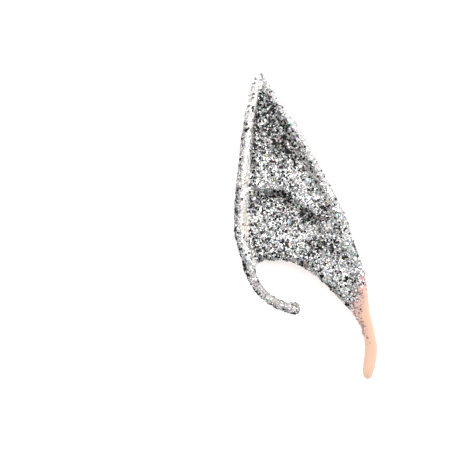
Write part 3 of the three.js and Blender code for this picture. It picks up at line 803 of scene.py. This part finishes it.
def new_material(name):
    """Material, its node tree and its shader."""
    material = bpy.data.materials.new(name)
    material.use_nodes = True
    return material, material.node_tree, material.node_tree.nodes["Principled BSDF"]


print("kinds of socket:", FLOAT, COLOUR, VECTOR)

# %% Clouded pigment and grain
mottle, m_in, m_out = new_group(
    "latex mottle",
    [("Colour", COLOUR, (0.8, 0.5, 0.4, 1)), ("Flush", COLOUR, (0.7, 0.3, 0.25, 1)),
     ("Cloud size", FLOAT, 0.006), ("Strength", FLOAT, 0.4)],
    [("Colour", COLOUR), ("Grain", FLOAT)])
where = add(mottle, "ShaderNodeTexCoord").outputs["Object"]
per_cloud = calculate(mottle, "DIVIDE", 1.0, m_in.outputs["Cloud size"])
clouds = add(mottle, "ShaderNodeTexNoise",
             [("Vector", where), ("Scale", per_cloud), ("Detail", 4.0), ("Roughness", 0.6)])
spread = remap(mottle, clouds.outputs["Fac"], ("From Min", 0.35), ("From Max", 0.7))
amount = calculate(mottle, "MULTIPLY", spread, m_in.outputs["Strength"])
tinted = mix_colours(mottle, amount, m_in.outputs["Colour"], m_in.outputs["Flush"])
grain = add(mottle, "ShaderNodeTexNoise", [("Vector", where), ("Scale", 2500.0), ("Detail", 3.0)])
join(mottle, m_out, [("Colour", tinted), ("Grain", grain.outputs["Fac"])])
print("group:", mottle.name)

# %% Small flakes as cells
TONES = [(0.0, (0.01, 0.01, 0.01)), (0.28, (0.06, 0.06, 0.06)), (0.45, (0.2, 0.198, 0.195)),
         (0.62, (0.55, 0.545, 0.54)), (0.80, (0.95, 0.945, 0.935))]
TINTS = [(0.0, (1.0, 1.0, 1.0)), (0.80, (0.62, 0.88, 0.92)), (0.85, (0.72, 0.68, 0.95)),
         (0.90, (0.95, 0.72, 0.74)), (0.95, (0.95, 0.95, 0.62))]
dust, d_in, d_out = new_group(
    "small flakes",
    [("Coat", FLOAT, 1.0), ("Flake size", FLOAT, 0.0004), ("Tilt", FLOAT, 0.5)],
    [("Colour", COLOUR), ("Mask", FLOAT), ("Normal", VECTOR)])
where = add(dust, "ShaderNodeTexCoord").outputs["Object"]
per_flake = calculate(dust, "DIVIDE", 1.0, d_in.outputs["Flake size"])
cells = add(dust, "ShaderNodeTexVoronoi", [("Vector", where), ("Scale", per_flake)])
cells = cells.outputs["Color"]
own = add(dust, "ShaderNodeSeparateColor", [("Color", cells)]).outputs
there = calculate(dust, "LESS_THAN", own["Red"], d_in.outputs["Coat"])
tone, tint = pick_colour(dust, own["Green"], TONES), pick_colour(dust, own["Blue"], TINTS)
centred = turn_vector(dust, "SUBTRACT", cells, (1, (0.5, 0.5, 0.5)))
leaning = turn_vector(dust, "SCALE", centred, ("Scale", d_in.outputs["Tilt"]))
surface = add(dust, "ShaderNodeNewGeometry").outputs["Normal"]
tipped = turn_vector(dust, "NORMALIZE", turn_vector(dust, "ADD", surface, (1, leaning)))
join(dust, d_out, [("Colour", mix_colours(dust, 1.0, tone, tint, "MULTIPLY")), ("Mask", there),
                   ("Normal", tipped)])
print("group:", dust.name)

# %% [markdown]
# ## The latex under the glitter
#
# Cast latex is a soft peach colour, satin, and lets a little light in. Under the full coat it is
# painted dark grey as the shade between the flakes, and thin glue only makes it blush. On the worn
# rolls it is painted pale as a highlight, and a lighter peach in the bare spots. One material with
# four masks does all of this without seams, where four materials would meet in hard edges.

# %% Latex material
PEACH, FLUSH, BLUSH = (0.80, 0.53, 0.39, 1), (0.77, 0.45, 0.34, 1), (0.68, 0.42, 0.39, 1)
# The dark grey under the full coat is painted shade between the flakes. The pale worn latex and the
# lighter peach of the bare spots are a painted highlight on the rolls, and so is the pale grey that
# the small flakes take there.
SHADE_UNDER_FLAKES, LIT_WORN_LATEX = (0.07, 0.065, 0.07, 1), (0.96, 0.91, 0.88, 1)
BARE_LATEX, PALE_FLAKE, PALE_SHARE = (0.98, 0.86, 0.77, 1), (0.64, 0.62, 0.61, 1), 0.65
THIN_FULL, THICK_START = 0.6, 0.65  # shares of glue
SKIN_ROUGH, GLUE_ROUGH, FLAKE_ROUGH = 0.42, 0.7, 0.3
latex, tree, shader = new_material("peach latex with fine glitter")
coat_in, glued_in, roll_in, bare_in = (
    add(tree, "ShaderNodeAttribute", attribute_name=name).outputs["Fac"]
    for name in ("coat", "glued", "roll", "bare"))
skin = add(tree, "ShaderNodeGroup",
           [("Colour", PEACH), ("Flush", FLUSH), ("Cloud size", 0.012), ("Strength", 0.5)],
           node_tree=mottle).outputs
small = add(tree, "ShaderNodeGroup", [("Coat", coat_in), ("Flake size", 0.0004), ("Tilt", 0.9)],
            node_tree=dust).outputs
# painted shade under the full coat, and the rolls' painted highlight, as the latex's colour
shade_and_highlight_under = mix_colours(tree, roll_in, SHADE_UNDER_FLAKES, mix_colours(tree, bare_in, LIT_WORN_LATEX, BARE_LATEX))
blush = mix_colours(tree, remap(tree, glued_in, ("From Max", THIN_FULL)), skin["Colour"], BLUSH)
under = mix_colours(tree, remap(tree, glued_in, ("From Min", THICK_START)), blush, shade_and_highlight_under)
# the small flakes on the rolls are painted pale as part of the highlight
lighter = calculate(tree, "MULTIPLY", roll_in, PALE_SHARE)
pale = mix_colours(tree, lighter, small["Colour"], PALE_FLAKE)
colour = mix_colours(tree, small["Mask"], under, pale)
satin = remap(tree, glued_in, ("To Min", SKIN_ROUGH), ("To Max", GLUE_ROUGH))
rough = remap(tree, small["Mask"], ("To Min", satin), ("To Max", FLAKE_ROUGH))
bump = add(tree, "ShaderNodeBump",
           [("Strength", 0.25), ("Distance", 0.00006), ("Height", skin["Grain"])])
facing = add(tree, "ShaderNodeMix", [("Factor", small["Mask"]), ("A", bump.outputs["Normal"]),
                                     ("B", small["Normal"])], data_type="VECTOR")
join(tree, shader, [("Base Color", colour), ("Metallic", small["Mask"]), ("Roughness", rough),
                    ("Normal", facing.outputs["Result"]), ("Subsurface Weight", 0.15),
                    ("Subsurface Radius", (1.0, 0.45, 0.3)), ("Subsurface Scale", 0.001)])
casting.data.materials.append(latex)
print("material:", latex.name)

# %% [markdown]
# ## Glitter that stands proud
#
# Craft glitter is cut from film into little hexagons, here fine ones, coarse ones and a few
# black ones that lie on top. Particles or instances would be the usual way, but they are heavy
# to bake. Each flake is a closed body of seven points, a flat hexagon over one buried point, and
# whole arrays of them are made at once.


# %% Scatter and flake helpers
def scatter(points, triangles, weights, count, rng):
    """Random places on a mesh. A triangle is picked by area times weight, and the place in it by
    two random numbers folded back into the triangle."""
    a, b, c = (points[triangles[:, i]] for i in range(3))
    area = np.linalg.norm(np.cross(b - a, c - a), axis=1) / 2
    chance = area * weights[triangles].mean(axis=1)
    picked = rng.choice(len(triangles), count, p=chance / chance.sum())
    u, v = rng.random((2, count))
    over = u + v > 1
    u, v = np.where(over, 1 - u, u), np.where(over, 1 - v, v)
    return picked, np.stack([1 - u - v, u, v], axis=-1)


def flakes(centres, normals, radii, lifts, sink, turn):
    """Six corners on a circle across the normal, lifted, and one point sunk below."""
    helper = np.where(np.abs(normals[:, :1]) < 0.8, [[1.0, 0, 0]], [[0, 1.0, 0]])
    u = np.cross(normals, helper)
    u /= np.linalg.norm(u, axis=1, keepdims=True)
    v = np.cross(normals, u)
    angle = (turn[:, None] + np.arange(6) * np.pi / 3)[..., None]
    rim = (np.cos(angle) * u[:, None] + np.sin(angle) * v[:, None]) * radii[:, None, None]
    rim = rim + (centres + normals * lifts[:, None])[:, None]
    root = (centres - normals * sink)[:, None]
    points = np.concatenate([rim, root], axis=1)
    one = [(0, 1, 2), (0, 2, 3), (0, 3, 4), (0, 4, 5)] + [(i, 6, (i + 1) % 6) for i in range(6)]
    triangles = np.array(one)[None] + 7 * np.arange(len(centres))[:, None, None]
    return points.reshape(-1, 3), triangles.reshape(-1, 3)


print("a flake has 7 points and 10 triangles")

# %% Flake colours
SILVER = np.array([(0.97, 0.965, 0.955), (0.70, 0.695, 0.69), (0.38, 0.375, 0.372),
                   (0.14, 0.138, 0.137), (0.02, 0.02, 0.02)])
RAINBOW = np.array([(0.25, 0.75, 0.62), (0.30, 0.52, 0.78), (0.46, 0.34, 0.76), (0.85, 0.42, 0.46),
                    (0.90, 0.80, 0.30), (0.30, 0.12, 0.10)])
MAUVE = np.array([0.95, 0.66, 0.74])
TINT_STRENGTH, TINT_SPREAD = 0.65, 0.05
# how strongly the painted shade darkens a flake's tone is set by the push
TONE_POWER, TONE_REACH, TONE_PUSH, TONE_START = 1.1, 4.4, 1.6, -0.6


def flake_colours(darkness, tinted_share, rng):
    """Tone of each flake: a random number pushed up by the darkness, which carries the painted
    shade, picks a silver, a few flakes take a rainbow colour instead, and each gets a faint tint of
    its own."""
    step = rng.random(len(darkness)) ** TONE_POWER * TONE_REACH + darkness * TONE_PUSH + TONE_START
    colours = SILVER[np.clip(step.astype(int), 0, 4)]
    tints = RAINBOW[rng.integers(0, len(RAINBOW), len(darkness))]
    is_tinted = (rng.random(len(darkness)) < tinted_share)[:, None]
    colours = np.where(is_tinted, mix(colours, tints, TINT_STRENGTH), colours)
    return np.clip(colours * rng.normal(1.0, TINT_SPREAD, colours.shape), 0, 1)


print(len(SILVER), "silvers and", len(RAINBOW), "rainbow colours")

# %% Strew the flakes
FLAKE_SINK, FADE_TINT, MOST_TIPPED, SMALLEST, LARGEST, MOST_GLOOM = 0.25, 0.3, 2.2, 0.8, 1.15, 1.2
LIGHT_ROLL, LIGHT_FADE, FLAT_ROLL = 1.1, 0.3, 0.5  # lighter on rolls as a painted highlight, lighter in the fade, and flatter on rolls


def strew(name, count, size, lift, tilt, tinted, darker, seed, proud=0.02, gather=0.0):
    """One mesh of flakes: places by the coat, more of them where the painted shade lies by the
    share gather, each flake tipped a little off the skin, and its tone darkened by the painted
    shade."""
    rng = np.random.default_rng(seed)
    # the dark flakes gather as painted shade on the open face and under the hook
    open_face = np.where(is_hook, 2 * (1 - hook_top), np.clip(casting_normals[:, 2], 0, 1) * glued)
    weights = coat * mix(1, np.clip(gloomy, 0, MOST_GLOOM) * open_face, gather)
    picked, shares = scatter(casting_points, casting_triangles, weights, count, rng)
    corners, shares = casting_triangles[picked], shares[..., None]
    centres = (casting_points[corners] * shares).sum(axis=1)
    normals = (casting_normals[corners] * shares).sum(axis=1)
    on_roll, glue_here, gloom_here = (
        (values[corners] * shares[..., 0]).sum(axis=1) for values in (roll, glued, gloomy))
    tipping = np.radians(mix(tilt, tilt * FLAT_ROLL, on_roll))[:, None]
    leans = rng.normal(size=(count, 3)).clip(-MOST_TIPPED, MOST_TIPPED)
    normals = normals + np.tan(tipping * leans)
    normals /= np.linalg.norm(normals, axis=1, keepdims=True)
    radii = size * rng.uniform(SMALLEST, LARGEST, count)
    lifts = lift * rng.random(count) + proud
    fading = 1 - glue_here
    # painted shade darkens the flakes' tone, and the rolls' painted highlight lightens it
    darkness = np.clip(gloom_here, 0, 1) + darker - LIGHT_ROLL * on_roll - LIGHT_FADE * fading
    turns = rng.uniform(0, np.pi, count)
    points, triangles = flakes(centres, normals, radii, lifts, FLAKE_SINK, turns)
    piece = make_piece(name, points, triangles, False)
    colours = flake_colours(darkness, tinted + FADE_TINT * fading, rng)
    colours = mix(colours, colours * MAUVE, fading[:, None])
    rows = np.repeat(np.c_[colours, np.ones(count)], 7, axis=0)
    layer = piece.data.color_attributes.new("flake", "FLOAT_COLOR", "POINT")
    layer.data.foreach_set("color", rows.astype(np.float32).ravel())
    return piece


FINE, COARSE, DARK = 0.23, 0.42, 0.47  # radius of a flake
pieces = [strew(f"glitter_fine_{i}", 16000, FINE, lift=0.18, tilt=20, tinted=0.08, darker=0.0,
                seed=100 + i) for i in range(1, 4)]
pieces.append(strew("glitter_coarse", 6000, COARSE, lift=0.25, tilt=18, tinted=0.16, darker=0.0,
                    seed=200))
# black flakes, gathered where the painted shade lies
pieces.append(strew("glitter_dark", 1100, DARK, lift=0.1, tilt=6, tinted=0.0, darker=3.0, seed=300,
                    proud=0.36, gather=0.75))
print(sum(len(p.data.polygons) for p in pieces), "triangles of glitter")

# %% [markdown]
# ## Flake material
#
# A flake is metal-coated film: it mirrors softly, and its colour comes from an attribute. A
# random colour per object would need a separate object for each flake.

# %% Foil
foil, tree, shader = new_material("glitter foil")
flake_in = add(tree, "ShaderNodeAttribute", attribute_name="flake").outputs["Color"]
where = add(tree, "ShaderNodeTexCoord").outputs["Object"]
haze = add(tree, "ShaderNodeTexNoise", [("Vector", where), ("Scale", 1800.0), ("Detail", 2.0)])
rough = remap(tree, haze.outputs["Fac"], ("To Min", 0.18), ("To Max", 0.42))
join(tree, shader, [("Base Color", flake_in), ("Roughness", rough), ("Metallic", 1.0)])
for piece in pieces:
    piece.data.materials.append(foil)
print("material:", foil.name)

# %% [markdown]
# ## Table, light and camera
#
# The ear tip lies on a white table in a pale room. A strong soft light stands on the upper right
# and a weaker one on the left, so each flake mirrors one of them or the dim room. The table
# gives a little light of its own, which leaves no shadow on it. The camera looks straight down
# with a long lens, so the outline keeps its shape.

# %% Table and light
TABLE_SIDE, TABLE_GLOW, ROOM_LIGHT = 6.0, 0.45, 0.4
half = TABLE_SIDE / 2
table_mesh = bpy.data.meshes.new("table")
table_corners = [(-half, -half, 0), (half, -half, 0), (half, half, 0), (-half, half, 0)]
table_mesh.from_pydata(table_corners, [], [(0, 1, 2, 3)])
table = bpy.data.objects.new("table", table_mesh)
bpy.context.scene.collection.objects.link(table)
paper, tree, shader = new_material("white table")
join(tree, shader, [("Base Color", (0.92, 0.92, 0.92, 1)), ("Roughness", 0.9),
                    ("Emission Color", (1, 1, 1, 1)), ("Emission Strength", TABLE_GLOW)])
table_mesh.materials.append(paper)


def soft_light(name, watts, size, distance, sideways, forwards):
    """Disc light at a distance, tipped from straight above by two angles in degrees."""
    data = bpy.data.lights.new(name, "AREA")
    data.shape, data.size, data.energy = "DISK", size, watts
    lamp = bpy.data.objects.new(name, data)
    direction = np.array([np.tan(np.radians(sideways)), np.tan(np.radians(forwards)), 1.0])
    direction /= np.linalg.norm(direction)
    lamp.location = direction * distance
    lamp.rotation_mode = "QUATERNION"
    lamp.rotation_quaternion = lamp.location.to_track_quat("Z", "Y")
    lamp.visible_camera = False
    bpy.context.scene.collection.objects.link(lamp)


soft_light("key", watts=13, size=1.2, distance=1.1, sideways=32, forwards=24)
soft_light("fill", watts=12, size=2.0, distance=1.6, sideways=-40, forwards=-10)
world = bpy.data.worlds.new("pale room")
world.use_nodes = True
join(world.node_tree, world.node_tree.nodes["Background"],
     [("Color", (1, 1, 1, 1)), ("Strength", ROOM_LIGHT)])
bpy.context.scene.world = world
bpy.context.scene.view_settings.view_transform = "Standard"
print("two lights and a glowing table")

# %% Camera over the table
VIEW_WIDTH, VIEW_HEIGHT, MIDDLE = 0.1796, 1.5, 0.008
VIEW_ACROSS, VIEW_ALONG = -0.02985, -0.00137  # the ear tip lies right of the picture's middle
camera_data = bpy.data.cameras.new("camera")
camera_data.lens = camera_data.sensor_width * (VIEW_HEIGHT - MIDDLE) / VIEW_WIDTH
camera = bpy.data.objects.new("camera", camera_data)
camera.location = (VIEW_ACROSS, VIEW_ALONG, VIEW_HEIGHT)
bpy.context.scene.collection.objects.link(camera)
bpy.context.scene.camera = camera
print(f"lens {camera_data.lens:.0f} mm")
